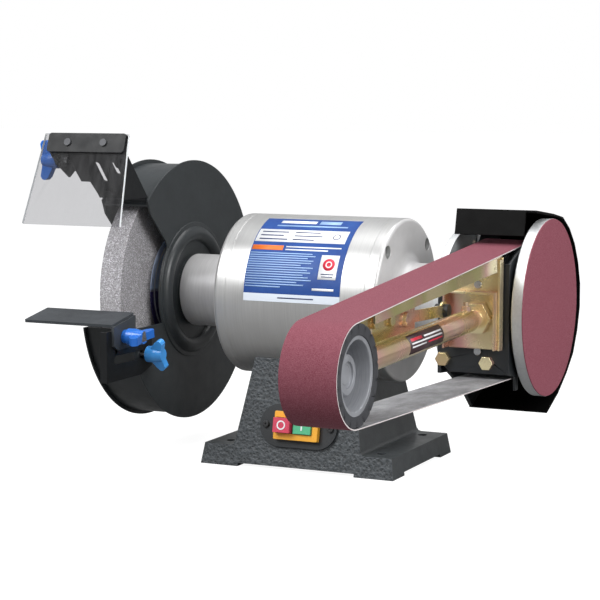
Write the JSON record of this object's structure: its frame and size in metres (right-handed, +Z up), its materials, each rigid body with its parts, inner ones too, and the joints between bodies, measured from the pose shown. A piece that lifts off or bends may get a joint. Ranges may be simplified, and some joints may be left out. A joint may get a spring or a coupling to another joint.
{
  "type": "bench grinder",
  "caption": "Bench grinder with a guarded grinding wheel on one end of the motor and a belt and disc linisher on the other.",
  "frame": {"origin": "centre of the four bench bolt holes, on the bench surface under the feet", "axes": "+X along the shaft towards the sanding disc, +Y to the back, +Z up"},
  "size_m": [0.5068, 0.622, 0.3467],
  "materials": {
    "cast_grey": "hammered enamel",
    "black_steel": "powder coat",
    "zinc": "zinc plated",
    "black_plastic": "moulded",
    "can_white": "moulded",
    "yellow_plastic": "moulded",
    "red_plastic": "moulded",
    "green_plastic": "moulded",
    "white_print": "printed",
    "motor_silver": "brushed silver",
    "core_steel": "laminated",
    "copper": "enamelled copper",
    "label_blue": "printed film",
    "bearing_steel": "ground",
    "shaft_steel": "turned",
    "guard_grey": "satin enamel",
    "clear": "clear acrylic",
    "knob_blue": "moulded",
    "stone": "vitrified abrasive",
    "blotter": "printed paper",
    "flange_grey": "machined",
    "rest_grey": "satin enamel",
    "aluminium": "turned",
    "yellow_zinc": "yellow passivated zinc",
    "spring_steel": "drawn wire",
    "idler": "cast, with rubber tyre",
    "abrasive": "coated abrasive",
    "disc": "turned, abrasive faced"
  },
  "bodies": {
    "root": {"base_casting": "cast_grey", "base_plate": "black_steel", "base_plate_screws": "zinc", "motor_bolts": "zinc", "cord_gland": "black_plastic", "capacitor": "can_white", "switch_plate": "black_steel", "switch_screws": "black_steel", "switch_bezel": "yellow_plastic", "switch_body": "black_plastic", "motor_shell": "motor_silver", "left_end_bell": "motor_silver", "right_end_bell": "motor_silver", "stator_core": "core_steel", "windings": "copper", "through_bolts": "zinc", "data_label": "label_blue", "bearing_outer_races": "bearing_steel", "wheel_guard": "guard_grey", "guard_screws": "zinc", "guard_cover": "guard_grey", "cover_screws": "black_steel", "shield_bracket": "black_steel", "rest_stud": "zinc", "adaptor_flange": "aluminium"},
    "stop": {"stop_button": "red_plastic", "stop_legend": "white_print"},
    "start": {"start_button": "green_plastic", "start_legend": "white_print"},
    "rotor": {"bearing_inner_races": "bearing_steel", "bearing_balls": "bearing_steel", "shaft": "shaft_steel", "rotor_core": "core_steel", "grinding_wheel": "stone", "wheel_blotters": "blotter", "wheel_flanges": "flange_grey", "wheel_nut": "zinc", "drive_wheel": "aluminium", "sanding_disc": "disc"},
    "shield": {"shield_frame": "black_steel", "eye_shield": "clear"},
    "shield_knob": {"shield_knob": "knob_blue"},
    "rest_carriage": {"rest_bracket": "black_steel"},
    "rest_table": {"tool_rest": "rest_grey"},
    "rest_tilt_knob": {"rest_tilt_knob": "knob_blue"},
    "rest_slide_knob": {"rest_slide_knob": "knob_blue"},
    "arm": {"arm_frame": "black_steel", "frame_bolts": "yellow_zinc", "belt_guard": "black_steel", "mount_plate": "yellow_zinc", "arm_channel": "yellow_zinc", "guide_post": "yellow_zinc", "platen": "yellow_zinc", "belt": "abrasive"},
    "lever": {"tension_lever": "yellow_zinc"},
    "slider": {"sliding_tube": "yellow_zinc", "wheel_yoke": "yellow_zinc", "tension_spring": "spring_steel"},
    "tracking_knob": {"tracking_knob": "black_plastic"},
    "idler": {"idler_wheel": "idler"}
  },
  "joints": [
    {"name": "rotor_spin", "type": "hinge", "parent": "root", "child": "rotor", "pos_m": [0, 0, 0.1734], "axis": [1, 0, 0], "continuous": true},
    {"name": "stop_press", "type": "slide", "parent": "root", "child": "stop", "axis": [0, 0.9806, -0.1961], "range_m": [0, 0.0025], "stiffness_N_per_m": 400, "springref_m": -0.001},
    {"name": "start_press", "type": "slide", "parent": "root", "child": "start", "axis": [0, 0.9806, -0.1961], "range_m": [0, 0.0025], "stiffness_N_per_m": 400, "springref_m": -0.001},
    {"name": "shield_tilt", "type": "hinge", "parent": "root", "child": "shield", "pos_m": [-0.2, -0.15, 0.318], "axis": [-1, 0, 0], "range_deg": [-6, 40]},
    {"name": "shield_knob_turn", "type": "hinge", "parent": "shield", "child": "shield_knob", "pos_m": [-0.24, -0.15, 0.318], "axis": [-1, 0, 0], "continuous": true},
    {"name": "rest_slide", "type": "slide", "parent": "root", "child": "rest_carriage", "axis": [0, 1, 0], "range_m": [-0.003, 0.005]},
    {"name": "rest_tilt", "type": "hinge", "parent": "rest_carriage", "child": "rest_table", "pos_m": [-0.157, -0.16, 0.141], "axis": [-1, 0, 0], "range_deg": [-3, 25]},
    {"name": "rest_tilt_knob_turn", "type": "hinge", "parent": "rest_table", "child": "rest_tilt_knob", "pos_m": [-0.15, -0.16, 0.141], "axis": [1, 0, 0], "continuous": true},
    {"name": "rest_slide_knob_turn", "type": "hinge", "parent": "root", "child": "rest_slide_knob", "pos_m": [-0.15, -0.114, 0.117], "axis": [1, 0, 0], "continuous": true},
    {"name": "arm_swing", "type": "hinge", "parent": "root", "child": "arm", "pos_m": [0.162, 0, 0.1734], "axis": [-1, 0, 0], "range_deg": [-10, 80]},
    {"name": "belt_tension", "type": "slide", "parent": "arm", "child": "slider", "axis": [0, -0.9998, -0.0202], "range_m": [-0.015, 0], "stiffness_N_per_m": 900, "springref_m": 0.03},
    {"name": "tension_lever_swing", "type": "hinge", "parent": "arm", "child": "lever", "pos_m": [0.181, -0.24291, 0.18609], "axis": [-1, 0, 0], "range_deg": [0, 24]},
    {"name": "tracking_turn", "type": "hinge", "parent": "slider", "child": "tracking_knob", "pos_m": [0.16, -0.39539, 0.13939], "axis": [1, 0, 0], "continuous": true},
    {"name": "idler_spin", "type": "hinge", "parent": "slider", "child": "idler", "pos_m": [0.2, -0.43791, 0.16453], "axis": [1, 0, 0], "continuous": true}
  ],
  "couplings": [
    {"joint": "idler_spin", "follows": "rotor_spin", "ratio": 1.5514}
  ]
}
